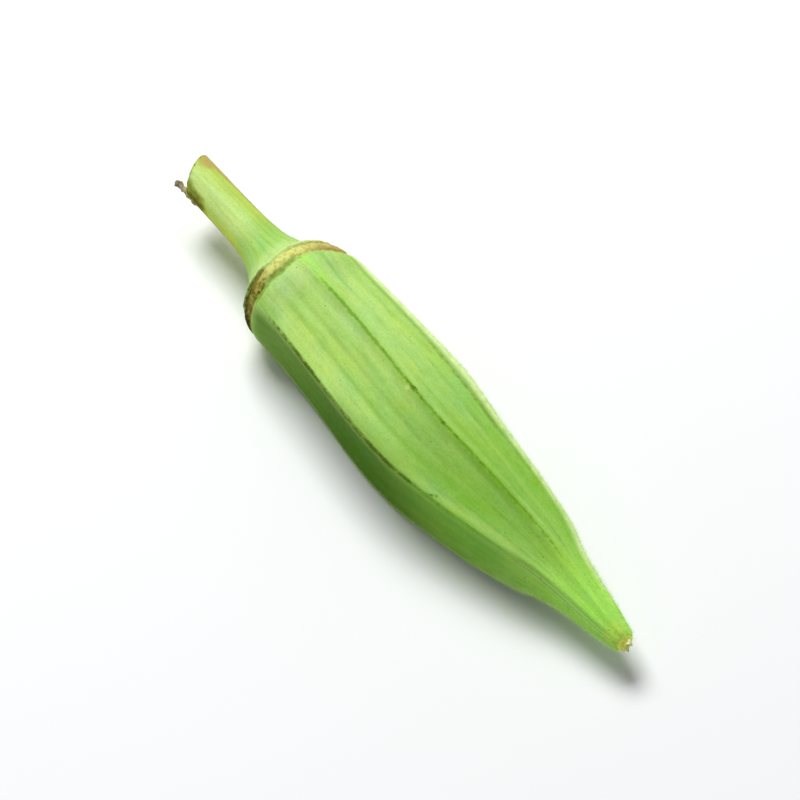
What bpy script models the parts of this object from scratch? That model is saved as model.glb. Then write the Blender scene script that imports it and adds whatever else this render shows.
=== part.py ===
"""Okra pod, as picked, lying on a level surface.

The pod is one grown piece: a cut stem, the flared seat that the flower grew on, the ring scar that
the calyx left when it fell, a capsule with five ridges and hollow faces, and a short beak that ends
in the scar of the style.  It lies along X with its tip at +X.  It rests on its two lower ridges,
and on the ring scar's lower edge behind them.  The origin is the middle of the pod's outline from
above, on the surface that carries it, and Z is up.

Sections across the pod stand at a "station", counted in millimetres from the ring scar towards the
tip.  Angles round the pod are in degrees, from straight up towards +Y.
"""

import math

import bmesh
import bpy
from mathutils import Vector

MM = 0.001
FACES = 5

# Stations where one stretch of the pod ends and the next starts
STEM_END = -24.9
STEM_TOP = -12.0
FLARE_END = -1.9
CAPSULE_START = 1.6
CAPSULE_END = 74.3
TIP = 75.7

# Place of the ring scar in the row, which puts the origin in the middle of the pod's outline
RING_X = -25.18
RING_Y = 0.9

# Stem and flare
STEM_RADIUS = 3.0
FLARE_RADIUS = 7.95
FLARE_REACH = 2.9
CUT_SLOPE = 25.0
CUT_LONG_SIDE = 67.5

# Ring scar, as (station, radius): a thin outer lip, a groove, the wide corky band, and the groove
# that the capsule rises from
RING_OUTLINE = (
    (FLARE_END, FLARE_RADIUS),
    (-1.55, 8.15),
    (-1.15, 8.0),
    (-0.65, 8.5),
    (0.1, 8.88),
    (0.7, 8.97),
    (1.1, 8.87),
    (CAPSULE_START, 9.25),
)

# Capsule over its ridges, as (station, radius)
CAPSULE_OUTLINE = (
    (CAPSULE_START, 9.25),
    (3.0, 9.52),
    (6.5, 9.72),
    (14.0, 10.18),
    (21.5, 10.68),
    (28.0, 10.85),
    (34.0, 10.45),
    (39.5, 9.65),
    (45.0, 8.8),
    (50.0, 7.9),
    (56.0, 6.55),
    (61.0, 4.75),
    (66.5, 3.5),
    (71.0, 2.7),
    (CAPSULE_END, 1.95),
)

# Rounded tip and the small crater of the style's scar, as (station, radius)
TIP_OUTLINE = (
    (74.85, 1.68),
    (75.25, 1.33),
    (75.55, 0.98),
    (TIP, 0.72),
    (75.5, 0.5),
    (75.4, 0.2),
)

# Middle line of the pod, as (station, sideways, height): the belly bows a little to one side, and
# the beak droops
MIDDLE_LINE = (
    (-28.0, 0.05, 9.38),
    (-10.0, 0.2, 8.73),
    (-6.0, -0.05, 8.67),
    (-2.0, -0.45, 8.65),
    (0.0, -0.65, 8.62),
    (12.0, -0.8, 8.25),
    (24.0, -1.3, 7.9),
    (30.0, -1.6, 7.77),
    (36.0, -1.75, 7.5),
    (49.0, -0.95, 6.7),
    (61.0, -0.05, 6.2),
    (TIP, 0.1, 5.7),
)

# Angle of each ridge at each of these stations: ridges wander as they grow
RIDGE_STATIONS = (0.0, 15.0, 30.0, 43.0, 56.0, 67.0, TIP)
RIDGE_ANGLES = (
    (-137.0, -137.0, -136.0, -134.0, -132.0, -135.0, -137.0),
    (-55.5, -57.0, -56.5, -56.0, -51.0, -54.0, -55.0),
    (2.0, 0.0, -2.0, 0.5, 1.5, 1.0, 0.0),
    (69.5, 69.5, 69.0, 69.0, 70.0, 70.0, 70.0),
    (137.0, 137.0, 136.5, 135.0, 134.0, 136.0, 137.0),
)

# Section across the capsule: how tight its corners are, how it grows out of the round ring scar,
# the raised rib on each ridge, and the hollow along each face
CORNER_TIGHTNESS = 13.0
CORNERS_AT_RING = 0.14
CORNERS_START = 0.0
CORNERS_FULL = 7.5
RIB_HEIGHT = 0.38
RIB_WIDTH = 0.75
RIB_FULL_RADIUS = 6.0
HOLLOW_DEPTH = 0.22
HOLLOW_FULL_RADIUS = 8.0

# Strip of skin torn loose along the short side of the cut: its root inside the stem, and each
# further step as (length, sideways, up, radius)
STRIP_ANGLE = -115.0
STRIP_ROOT = -19.8
STRIP_RADIUS = 0.38
STRIP_STEPS = (
    (1.3, -0.1, 0.02, 0.42),
    (1.1, -0.06, 0.02, 0.38),
    (1.0, 0.02, 0.0, 0.36),
    (0.9, 0.03, 0.02, 0.44),
    (0.55, -0.02, 0.02, 0.48),
    (0.45, -0.03, 0.0, 0.44),
    (0.25, 0.0, 0.0, 0.3),
)
STRIP_SIDES = 8

# Mesh: sections along each stretch, and points across each face
SPARE_STEM = 3.0
STEM_SECTIONS = 8
FLARE_SECTIONS = 9
CAPSULE_SECTIONS = 44
POINTS_PER_FACE = 12


def smooth_through(points, at):
    """Value at a place on a smooth curve through (place, value) points."""
    if at <= points[0][0]:
        return points[0][1]
    if at >= points[-1][0]:
        return points[-1][1]
    k = max(i for i, point in enumerate(points) if point[0] <= at)
    slopes = []
    for i in (k, k + 1):
        before = points[max(i - 1, 0)]
        after = points[min(i + 1, len(points) - 1)]
        slopes.append((after[1] - before[1]) / (after[0] - before[0]))
    (start, low), (end, high) = points[k], points[k + 1]
    span = end - start
    t = (at - start) / span
    curve = low * (2 * t**3 - 3 * t**2 + 1) + high * (3 * t**2 - 2 * t**3)
    bend = slopes[0] * (t**3 - 2 * t**2 + t) + slopes[1] * (t**3 - t**2)
    return curve + bend * span


def ramp(low, high, at):
    """0 below low, 1 above high, and a smooth step between them."""
    t = min(max((at - low) / (high - low), 0.0), 1.0)
    return t * t * (3.0 - 2.0 * t)


def around(angle):
    """Unit vector out of the pod's middle line at an angle round the pod."""
    turn = math.radians(angle)
    return Vector((0.0, math.sin(turn), math.cos(turn)))


def middle(station):
    """Middle of the section at a station, in millimetres in the row's frame."""
    sideways = smooth_through([(s, y) for s, y, z in MIDDLE_LINE], station)
    height = smooth_through([(s, z) for s, y, z in MIDDLE_LINE], station)
    return Vector((station + RING_X, sideways + RING_Y, height))


def outline_radius(station):
    """Radius of the pod over its ridges."""
    if station < FLARE_END:
        swell = math.exp((station - FLARE_END) / FLARE_REACH)
        return STEM_RADIUS + (FLARE_RADIUS - STEM_RADIUS) * swell
    if station < CAPSULE_START:
        return smooth_through(RING_OUTLINE, station)
    return smooth_through(CAPSULE_OUTLINE, station)


def ridge_angles(station):
    """Angles of the five ridges at a station."""
    return [smooth_through(list(zip(RIDGE_STATIONS, path)), station) for path in RIDGE_ANGLES]


def five_sided(angle, ridges):
    """Radius of a five-sided section with rounded corners, as a share of its ridge radius."""
    total = 0.0
    for face in range(FACES):
        gap = (ridges[(face + 1) % FACES] - ridges[face]) % 360.0
        facing = math.cos(math.radians(angle - ridges[face] - gap / 2.0))
        if facing > 0.0:
            total += (facing / math.cos(math.radians(gap / 2.0))) ** CORNER_TIGHTNESS
    return (total / 2.0) ** (-1.0 / CORNER_TIGHTNESS)


def skin_point(station, face, across, scale=1.0):
    """Point of the skin on one face, from the face's first ridge (across 0) to its second (1)."""
    ridges = ridge_angles(station)
    gap = (ridges[(face + 1) % FACES] - ridges[face]) % 360.0
    angle = ridges[face] + gap * across
    radius = outline_radius(station)
    capsule = ramp(CORNERS_START, CORNERS_FULL, station)
    corners = CORNERS_AT_RING * ramp(FLARE_END - FLARE_REACH, FLARE_END, station)
    corners += (1.0 - CORNERS_AT_RING) * capsule
    rib = RIB_HEIGHT * capsule * min(radius / RIB_FULL_RADIUS, 1.0)
    hollow = HOLLOW_DEPTH * capsule * min(radius / HOLLOW_FULL_RADIUS, 1.0)
    wall = (radius - rib) * (1.0 - corners * (1.0 - five_sided(angle, ridges)))
    from_ridge = min(across, 1.0 - across) * math.radians(gap) * radius
    wall += rib * math.exp(-((from_ridge / RIB_WIDTH) ** 2))
    wall -= hollow * math.sin(math.pi * across) ** 2
    return (middle(station) + around(angle) * wall * scale) * MM


def section(station, scale=1.0):
    """Points round one section, face by face, closer together beside the ridges."""
    places = [0.5 - 0.5 * math.cos(math.pi * k / POINTS_PER_FACE) for k in range(POINTS_PER_FACE)]
    return [skin_point(station, face, t, scale) for face in range(FACES) for t in places]


def evenly(start, end, steps):
    """Stations from start, in even steps, to just before end."""
    return [start + (end - start) * k / steps for k in range(steps)]


def draw_out(bm, sections):
    """A tube closed at its far end: each section is extruded from the one before it."""
    order = bm.verts.layers.int.new("order")
    verts = bmesh.ops.create_circle(bm, segments=len(sections[0]), radius=MM)["verts"]
    for k, vert in enumerate(verts):
        vert[order] = k
        vert.co = sections[0][k]
    edges = bm.edges[:]
    for points in sections[1:]:
        grown = bmesh.ops.extrude_edge_only(bm, edges=edges)["geom"]
        for item in grown:
            if isinstance(item, bmesh.types.BMVert):
                item.co = points[item[order]]
        edges = [item for item in grown if isinstance(item, bmesh.types.BMEdge)]
    bmesh.ops.contextual_create(bm, geom=edges)


def cut_away(bm, place, normal):
    """Cut by a plane, drop what lies beyond it, and close each opening with a flat face."""
    cut = bmesh.ops.bisect_plane(
        bm,
        geom=bm.verts[:] + bm.edges[:] + bm.faces[:],
        plane_co=place,
        plane_no=normal,
        clear_outer=True,
    )
    rims = [item for item in cut["geom_cut"] if isinstance(item, bmesh.types.BMEdge)]
    bmesh.ops.edgenet_fill(bm, edges=rims)


def build_pod(bm):
    """Stem, flare, ring scar, capsule, beak and tip as one skin, with the knife cut and feet."""
    stations = evenly(STEM_END - SPARE_STEM, STEM_TOP, STEM_SECTIONS)
    stations += evenly(STEM_TOP, FLARE_END, FLARE_SECTIONS)
    stations += [station for station, radius in RING_OUTLINE[:-1]]
    stations += evenly(CAPSULE_START, CAPSULE_END, CAPSULE_SECTIONS)
    stations += [CAPSULE_END]
    sections = [section(station) for station in stations]
    blunt = outline_radius(CAPSULE_END)
    sections += [section(station, radius / blunt) for station, radius in TIP_OUTLINE]
    draw_out(bm, sections)

    # the knife went through the stem at a slant, which leaves one side of it longer
    slope = math.radians(CUT_SLOPE)
    beyond = Vector((-math.cos(slope), 0.0, 0.0)) - around(CUT_LONG_SIDE) * math.sin(slope)
    cut_away(bm, middle(STEM_END + STEM_RADIUS * math.tan(slope)) * MM, beyond)

    # the pod's weight presses a flat along each of the two lower ridges, and a small one on the ring
    cut_away(bm, Vector((0.0, 0.0, 0.0)), Vector((0.0, 0.0, -1.0)))


def build_strip(bm):
    """The torn strip: a crooked finger that leaves the stem's wall and ends in a blunt knob."""
    place = middle(STRIP_ROOT) + around(STRIP_ANGLE) * (STEM_RADIUS - STRIP_RADIUS)
    stops = [(place, STRIP_RADIUS)]
    for length, sideways, up, radius in STRIP_STEPS:
        place = place + Vector((-length, sideways, up))
        stops.append((place, radius))
    turns = evenly(0.0, -360.0, STRIP_SIDES)
    draw_out(bm, [[(stop + around(turn) * radius) * MM for turn in turns] for stop, radius in stops])
    root = [edge for edge in bm.edges if edge.is_boundary]
    bmesh.ops.contextual_create(bm, geom=root)


def new_object(name, build):
    """Object whose mesh a builder fills in, with all its faces turned outwards."""
    bm = bmesh.new()
    build(bm)
    bmesh.ops.recalc_face_normals(bm, faces=bm.faces[:])
    mesh = bpy.data.meshes.new(name)
    bm.to_mesh(mesh)
    bm.free()
    made = bpy.data.objects.new(name, mesh)
    bpy.context.scene.collection.objects.link(made)
    return made


def pod_skin():
    """Fresh green skin, satin under its down."""
    material = bpy.data.materials.new("pod_skin")
    material.use_nodes = True
    shader = material.node_tree.nodes["Principled BSDF"]
    shader.inputs["Base Color"].default_value = (0.33, 0.6, 0.11, 1.0)
    shader.inputs["Roughness"].default_value = 0.5
    shader.inputs["Metallic"].default_value = 0.0
    return material


for leftover in list(bpy.data.objects):
    bpy.data.objects.remove(leftover, do_unlink=True)

pod = new_object("okra_pod", build_pod)
pod.data.materials.append(pod_skin())

# the strip is grown into the stem, so it is joined to the pod and its own object goes
strip = new_object("torn_strip", build_strip)
join = pod.modifiers.new("torn_strip", "BOOLEAN")
join.operation = "UNION"
join.object = strip
with bpy.context.temp_override(object=pod, active_object=pod):
    bpy.ops.object.modifier_apply(modifier=join.name)
bpy.data.objects.remove(strip, do_unlink=True)

pod.data.shade_smooth()
pod.data.set_sharp_from_angle(angle=math.radians(40.0))
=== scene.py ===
"""Looks of the okra pod: its skin, torn strip, style scar and down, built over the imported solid.

Sizes are in millimetres, and become metres where a piece's points are placed.  Sections across the
pod stand at a "station", counted from the ring scar towards the tip.  Angles round the pod are in
degrees, from straight up towards +Y.
"""

import math

import bmesh
import bpy
import numpy as np
from mathutils import Color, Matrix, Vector, noise


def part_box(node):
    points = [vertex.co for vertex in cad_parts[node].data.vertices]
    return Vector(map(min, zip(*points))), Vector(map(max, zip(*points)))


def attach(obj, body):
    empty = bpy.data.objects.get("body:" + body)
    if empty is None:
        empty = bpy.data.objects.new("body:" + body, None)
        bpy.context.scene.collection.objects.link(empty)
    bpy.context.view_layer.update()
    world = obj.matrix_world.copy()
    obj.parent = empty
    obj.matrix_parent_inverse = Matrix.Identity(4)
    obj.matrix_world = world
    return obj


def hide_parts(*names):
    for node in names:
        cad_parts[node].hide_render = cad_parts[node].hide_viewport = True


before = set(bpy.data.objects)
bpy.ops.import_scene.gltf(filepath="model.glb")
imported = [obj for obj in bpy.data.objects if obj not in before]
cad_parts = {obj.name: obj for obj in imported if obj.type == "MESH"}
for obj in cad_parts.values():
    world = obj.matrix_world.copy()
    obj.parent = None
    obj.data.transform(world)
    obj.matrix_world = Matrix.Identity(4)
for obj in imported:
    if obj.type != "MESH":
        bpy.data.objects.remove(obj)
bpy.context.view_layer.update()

# ----------------------------------------------------------------------
# Camera.  It looks down on the pod at a slant, with the cut stem at the upper left and the tip at
# the lower right, so that three of the five faces show.
# ----------------------------------------------------------------------

MM = 0.001
VIEW_AZIMUTH = 52.0
VIEW_ELEVATION = 56.0
VIEW_DISTANCE = 1500.0
VIEW_LENS = 475.0
VIEW_NEAR = 10.0


def view_direction(azimuth, elevation):
    """Unit vector from the pod towards a viewer."""
    turn = math.radians(azimuth)
    rise = math.radians(elevation)
    flat = math.cos(rise)
    return Vector((math.sin(turn) * flat, -math.cos(turn) * flat, math.sin(rise)))


pod_low, pod_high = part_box("okra_pod")
pod_centre = (pod_low + pod_high) / 2.0

camera = bpy.data.objects.new("camera", bpy.data.cameras.new("camera"))
camera.data.lens = VIEW_LENS
camera.data.clip_start = VIEW_NEAR * MM
camera.location = pod_centre + view_direction(VIEW_AZIMUTH, VIEW_ELEVATION) * VIEW_DISTANCE * MM
camera.rotation_euler = (camera.location - pod_centre).to_track_quat("Z", "Y").to_euler()
bpy.context.scene.collection.objects.link(camera)
bpy.context.scene.camera = camera

# ----------------------------------------------------------------------
# Skin.  The whole pod is one grown skin, from the knife cut through the stem to the crater of the
# style: fleshy and green, with a corky ring scar, sutures along its ridges and veins in its faces.
# It is drawn as one tube, ring after ring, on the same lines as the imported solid.
# ----------------------------------------------------------------------

FACES = 5
STEM_END = -24.9
STEM_TOP = -12.0
FLARE_END = -1.9
CAPSULE_START = 1.6
CAPSULE_END = 74.3
TIP = 75.7
RING_X = -25.18
RING_Y = 0.9

STEM_RADIUS = 3.0
FLARE_RADIUS = 7.95
FLARE_REACH = 2.9
CUT_SLOPE = 25.0
CUT_LONG_SIDE = 67.5

# (station, radius) over the ridges: ring scar with its two lips, capsule, and rounded tip
RING_OUTLINE = (
    (FLARE_END, FLARE_RADIUS),
    (-1.55, 8.15),
    (-1.15, 8.0),
    (-0.65, 8.5),
    (0.1, 8.88),
    (0.7, 8.97),
    (1.1, 8.87),
    (CAPSULE_START, 9.25),
)
CAPSULE_OUTLINE = (
    (CAPSULE_START, 9.25),
    (3.0, 9.52),
    (6.5, 9.72),
    (14.0, 10.18),
    (21.5, 10.68),
    (28.0, 10.85),
    (34.0, 10.45),
    (39.5, 9.65),
    (45.0, 8.8),
    (50.0, 7.9),
    (56.0, 6.55),
    (61.0, 4.75),
    (66.5, 3.5),
    (71.0, 2.7),
    (CAPSULE_END, 1.95),
)
TIP_OUTLINE = (
    (CAPSULE_END, 1.95),
    (74.85, 1.68),
    (75.25, 1.33),
    (75.55, 0.98),
    (TIP, 0.72),
    (75.5, 0.5),
    (75.4, 0.2),
    (75.38, 0.0),
)

# (station, sideways, height) of the middle line
MIDDLE_LINE = (
    (-28.0, 0.05, 9.38),
    (-10.0, 0.2, 8.73),
    (-6.0, -0.05, 8.67),
    (-2.0, -0.45, 8.65),
    (0.0, -0.65, 8.62),
    (12.0, -0.8, 8.25),
    (24.0, -1.3, 7.9),
    (30.0, -1.6, 7.77),
    (36.0, -1.75, 7.5),
    (49.0, -0.95, 6.7),
    (61.0, -0.05, 6.2),
    (TIP, 0.1, 5.7),
)

# Angle of each ridge at each of these stations
RIDGE_STATIONS = (0.0, 15.0, 30.0, 43.0, 56.0, 67.0, TIP)
RIDGE_ANGLES = (
    (-137.0, -137.0, -136.0, -134.0, -132.0, -135.0, -137.0),
    (-55.5, -57.0, -56.5, -56.0, -51.0, -54.0, -55.0),
    (2.0, 0.0, -2.0, 0.5, 1.5, 1.0, 0.0),
    (69.5, 69.5, 69.0, 69.0, 70.0, 70.0, 70.0),
    (137.0, 137.0, 136.5, 135.0, 134.0, 136.0, 137.0),
)
LOW_NEAR_RIDGE, NEAR_RIDGE, TOP_RIDGE, FAR_RIDGE, LOW_FAR_RIDGE = range(FACES)

# Section across the capsule
CORNER_TIGHTNESS = 13.0
CORNERS_AT_RING = 0.14
CORNERS_FULL = 7.5
RIB_HEIGHT = 0.38
RIB_WIDTH = 0.75
RIB_FULL_RADIUS = 6.0
HOLLOW_DEPTH = 0.22
HOLLOW_FULL_RADIUS = 8.0

# Rings of the tube on the cut, as shares of its radius, and along each stretch
CUT_RINGS = (0.0, 0.12, 0.26, 0.4, 0.52, 0.63, 0.73, 0.82, 0.89, 0.94, 0.975)
CUT_RIM = 0.08
STEM_RINGS = 26
FLARE_RINGS = 27
SCAR_START = -2.7
SCAR_END = 2.1
SCAR_RINGS = 48
CAPSULE_RINGS = 140
TIP_RINGS = 22

# Columns of the tube across each face, and how far they crowd together beside the ridges
COLUMNS_PER_FACE = 70
CROWDING = 0.62

# Fine relief.  The ring scar reaches towards the tip on one side, and wanders elsewhere, within a
# stretch given as (start, end, fade)
SCAR_REACH = 1.0
SCAR_REACH_ANGLE = 62.0
SCAR_REACH_TURN = 42.0
WANDER_WITHIN = (-2.2, 2.4, 3.5)

# Lumps over the skin, as (height, size, squeeze): a squeeze below 1 draws them out along the pod
SCAR_WANDER = (0.2, 3.0, 0.15)
CORK_LUMPS = (0.091, 0.95, 1.0)
CORK_CRUMBS = (0.0585, 0.42, 1.0)
VEINS = (0.035, 1.7, 0.04)
DENTS = (0.1, 6.0, 0.45)
STEM_LINES = (0.06, 2.6, 0.12)

# Groove of each suture, and the pith of the cut, which sinks unevenly as it dries, from a share
# of the stem's radius where it starts to sink to the one where it is fully sunk
SUTURE_DEPTH = 0.1
SUTURE_WIDTH = 0.16
SUTURE_STRETCH = (3.5, 72.0, 2.5)
PITH_SINK = 0.35
PITH_EDGE = (0.92, 0.5)
PITH_LUMPS = 0.35
CUT_ROUGHNESS = 0.05

# Radius at which patterns are laid out, and how near points are joined
GRAIN_RADIUS = 9.5
JOIN_WITHIN = 0.0001


def smooth_through(points, at):
    """Values at places on a smooth curve through (place, value) points."""
    places, values = np.array(points, float).T
    last = len(places) - 1
    before = np.maximum(np.arange(last + 1) - 1, 0)
    after = np.minimum(np.arange(last + 1) + 1, last)
    slopes = (values[after] - values[before]) / (places[after] - places[before])
    at = np.clip(at, places[0], places[-1])
    k = np.clip(np.searchsorted(places, at, side="right") - 1, 0, last - 1)
    span = places[k + 1] - places[k]
    t = (at - places[k]) / span
    curve = values[k] * (2 * t**3 - 3 * t**2 + 1) + values[k + 1] * (3 * t**2 - 2 * t**3)
    bend = slopes[k] * (t**3 - 2 * t**2 + t) + slopes[k + 1] * (t**3 - t**2)
    return curve + bend * span


def ramp(low, high, at):
    """0 below low, 1 above high, and a smooth step between them."""
    t = np.clip((at - low) / (high - low), 0.0, 1.0)
    return t * t * (3.0 - 2.0 * t)


def between(start, end, fade, at):
    """1 from start to end, fading to 0 within fade outside them."""
    return ramp(start - fade, start, at) * (1.0 - ramp(end, end + fade, at))


def turn_from(other, angle):
    """Turn from another angle to this one, from -180 to 180 degrees."""
    return (angle - other + 180.0) % 360.0 - 180.0


def around(angle):
    """Unit vectors out of the middle line at angles round the pod."""
    turn = np.radians(angle)
    return np.stack([np.zeros_like(turn), np.sin(turn), np.cos(turn)], axis=-1)


def middle(station):
    """Places on the middle line, in the row's frame."""
    sideways = smooth_through([(s, y) for s, y, z in MIDDLE_LINE], station)
    height = smooth_through([(s, z) for s, y, z in MIDDLE_LINE], station)
    return np.stack([station + RING_X, sideways + RING_Y, height], axis=-1)


def ridge_angle(ridge, station):
    """Angle of one ridge at stations."""
    return smooth_through(list(zip(RIDGE_STATIONS, RIDGE_ANGLES[ridge % FACES])), station)


def face_width(face, station):
    """Turn from a face's first ridge to its second."""
    return (ridge_angle(face + 1, station) - ridge_angle(face, station)) % 360.0


def outline_radius(station):
    """Radius over the ridges at stations."""
    swell = np.exp((np.minimum(station, FLARE_END) - FLARE_END) / FLARE_REACH)
    flare = STEM_RADIUS + (FLARE_RADIUS - STEM_RADIUS) * swell
    ring = smooth_through(RING_OUTLINE, station)
    capsule = smooth_through(CAPSULE_OUTLINE, station)
    return np.where(station < FLARE_END, flare, np.where(station < CAPSULE_START, ring, capsule))


def five_sided(angle, station):
    """Radius of a five-sided section with rounded corners, as a share of its ridge radius."""
    total = np.zeros_like(angle)
    for face in range(FACES):
        half = face_width(face, station) / 2.0
        facing = np.cos(np.radians(angle - ridge_angle(face, station) - half))
        total += (np.maximum(facing, 0.0) / np.cos(np.radians(half))) ** CORNER_TIGHTNESS
    return (total / 2.0) ** (-1.0 / CORNER_TIGHTNESS)


def lumps(places, size):
    """Smooth bumps between about -1 and 1, one to each stretch of this size."""
    scaled = (places / size).reshape(-1, 3)
    return np.array([noise.noise(Vector(place)) for place in scaled]).reshape(places.shape[:-1])


def repeat_down(row):
    """The same row of numbers for each ring."""
    return np.repeat(np.atleast_2d(row), rings, axis=0)


# columns: the face that each is on, and its share of the way across it
even_share = np.arange(COLUMNS_PER_FACE) / COLUMNS_PER_FACE
crowded = 0.5 - 0.5 * np.cos(np.pi * even_share)
face_of = np.repeat(np.arange(FACES), COLUMNS_PER_FACE)
across = np.tile(even_share + CROWDING * (crowded - even_share), FACES)
columns = FACES * COLUMNS_PER_FACE
stem_angle = sum(
    (face_of == face) * (ridge_angle(face, 0.0) + face_width(face, 0.0) * across)
    for face in range(FACES)
)

# rings: each has a station for every column, because the slant of the cut fades along the stem
slant = STEM_RADIUS * math.tan(math.radians(CUT_SLOPE))
cut_middle = STEM_END + slant
cut_edge = cut_middle - slant * np.cos(np.radians(stem_angle - CUT_LONG_SIDE))
cut_share = np.array(CUT_RINGS)[:, None]
stem_share = (np.arange(STEM_RINGS) / STEM_RINGS)[:, None]
tip_place = np.linspace(0.0, len(TIP_OUTLINE) - 1.0, TIP_RINGS)
tip_station, tip_radius = (
    smooth_through(list(enumerate(values)), tip_place) for values in zip(*TIP_OUTLINE)
)
straight = np.concatenate(
    [
        np.linspace(STEM_TOP, SCAR_START, FLARE_RINGS, endpoint=False),
        np.linspace(SCAR_START, SCAR_END, SCAR_RINGS, endpoint=False),
        np.linspace(SCAR_END, CAPSULE_END, CAPSULE_RINGS, endpoint=False),
        tip_station,
    ]
)
stations = np.concatenate(
    [
        cut_middle + (cut_edge - cut_middle) * cut_share,
        cut_edge + CUT_RIM + (STEM_TOP - cut_edge - CUT_RIM) * stem_share,
        np.repeat(straight[:, None], columns, axis=1),
    ]
)
rings = len(stations)

# shrink: how far the rings on the cut and on the tip draw in towards the middle line
shrink = np.ones((rings, 1))
shrink[: len(CUT_RINGS)] = cut_share
shrink[rings - TIP_RINGS :, 0] = tip_radius / CAPSULE_OUTLINE[-1][1]
on_cut = np.zeros((rings, columns))
on_cut[: len(CUT_RINGS)] = 1.0

# angles of the points, and the grain that patterns follow: straight along the pod, never pinched
angles = np.zeros((rings, columns))
gaps = np.zeros((rings, columns))
for face in range(FACES):
    here = face_of == face
    gaps[:, here] = face_width(face, stations[:, here])
    angles[:, here] = ridge_angle(face, stations[:, here]) + gaps[:, here] * across[here]
even_angle = np.radians((face_of + across) * 360.0 / FACES)
grain = np.stack(
    [
        repeat_down(GRAIN_RADIUS * np.sin(even_angle)),
        repeat_down(GRAIN_RADIUS * np.cos(even_angle)),
        stations,
    ],
    axis=-1,
)


def relief(height, size, squeeze):
    """Lumps over the skin, drawn out along the pod by a squeeze below 1."""
    return height * lumps(grain * (1.0, 1.0, squeeze), size)


# wall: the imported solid's own section, over a ring scar that wanders a little
reach = np.exp(-((turn_from(SCAR_REACH_ANGLE, angles) / SCAR_REACH_TURN) ** 2))
wander = relief(*SCAR_WANDER) - SCAR_REACH * reach
worn = stations + wander * between(*WANDER_WITHIN, stations)
outline = outline_radius(worn)
grown = ramp(0.0, CORNERS_FULL, stations)
seat = ramp(FLARE_END - FLARE_REACH, FLARE_END, stations)
corners = CORNERS_AT_RING * seat + (1.0 - CORNERS_AT_RING) * grown
rib = RIB_HEIGHT * grown * np.minimum(outline / RIB_FULL_RADIUS, 1.0)
slim = np.minimum(outline / HOLLOW_FULL_RADIUS, 1.0)
hollow = HOLLOW_DEPTH * grown * slim
wall = (outline - rib) * (1.0 - corners * (1.0 - five_sided(angles, stations)))
from_rib = np.minimum(across, 1.0 - across) * np.radians(gaps) * outline
wall += rib * np.exp(-((from_rib / RIB_WIDTH) ** 2))
wall -= hollow * np.sin(np.pi * across) ** 2

# relief: cork on the ring scar, veins and dents on the faces, sutures, lines along the stem
radii = wall * shrink
from_ridge = [
    np.radians(turn_from(ridge_angle(ridge, stations), angles)) * radii for ridge in range(FACES)
]
cork = between(-1.7, 1.0, 0.35, worn) * (1.0 - on_cut)
wall += cork * (relief(*CORK_LUMPS) + relief(*CORK_CRUMBS))
wall += grown * slim * (relief(*VEINS) + relief(*DENTS))
wall += (1.0 - grown) * (1.0 - cork) * relief(*STEM_LINES)
for ridge in range(FACES):
    groove = np.exp(-((from_ridge[ridge] / SUTURE_WIDTH) ** 2))
    wall -= SUTURE_DEPTH * between(*SUTURE_STRETCH, stations) * groove
points = middle(stations) + around(angles) * (wall * shrink)[..., None]

# cut: the pith sinks as it dries, inside a rim of bark that stays
lean = math.radians(CUT_SLOPE)
into_stem = np.array([math.cos(lean), 0.0, 0.0]) + around(CUT_LONG_SIDE) * math.sin(lean)
sunk = PITH_SINK * ramp(*PITH_EDGE, shrink) * (1.0 + PITH_LUMPS * lumps(points, 0.8))
sunk += CUT_ROUGHNESS * lumps(points, 0.35)
points += (on_cut * sunk)[..., None] * into_stem
points[..., 2] = np.maximum(points[..., 2], 0.0)


def new_piece(name, mesh, material):
    """A piece of the pod, which rides on it and stands for its solid."""
    mesh.materials.append(material)
    piece = bpy.data.objects.new(name, mesh)
    bpy.context.scene.collection.objects.link(piece)
    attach(piece, "root")
    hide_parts("okra_pod")


def tube_mesh(name, rows):
    """A tube through rows of points, from a grid whose sides meet and whose ends close up."""
    rings, columns = rows.shape[:2]
    bm = bmesh.new()
    ring = bm.verts.layers.int.new("ring")
    order = bm.verts.layers.int.new("order")
    bmesh.ops.create_grid(bm, x_segments=columns, y_segments=rings - 1, size=1.0)
    for vert in bm.verts:
        vert[ring] = round((vert.co.y + 1.0) / 2.0 * (rings - 1))
        vert[order] = round((vert.co.x + 1.0) / 2.0 * columns) % columns
        vert.co = rows[vert[ring]][vert[order]] * MM
    bmesh.ops.remove_doubles(bm, verts=bm.verts[:], dist=JOIN_WITHIN * MM)
    bmesh.ops.recalc_face_normals(bm, faces=bm.faces[:])
    mesh = bpy.data.meshes.new(name)
    bm.to_mesh(mesh)
    bm.free()
    mesh.shade_smooth()
    return mesh


def spread(mesh, grids):
    """Attributes of a tube mesh from grids of numbers, one for each ring and column."""
    ring = np.zeros(len(mesh.vertices), int)
    order = np.zeros(len(mesh.vertices), int)
    mesh.attributes["ring"].data.foreach_get("value", ring)
    mesh.attributes["order"].data.foreach_get("value", order)
    mesh.attributes.remove(mesh.attributes["ring"])
    mesh.attributes.remove(mesh.attributes["order"])
    for name, grid in grids.items():
        if grid.ndim == 3:
            made = mesh.attributes.new(name, "FLOAT_VECTOR", "POINT")
            made.data.foreach_set("vector", grid[ring, order].astype(np.float32).ravel())
        else:
            made = mesh.attributes.new(name, "FLOAT", "POINT")
            made.data.foreach_set("value", grid[ring, order].astype(np.float32))


def spot(station, angle, half_length, half_width):
    """1 at a place on the skin, fading past an oval of these half sizes."""
    along = (stations - station) / half_length
    aside = np.radians(turn_from(angle, angles)) * radii / half_width
    return np.exp(-((along**2 + aside**2) ** 2))


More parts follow.
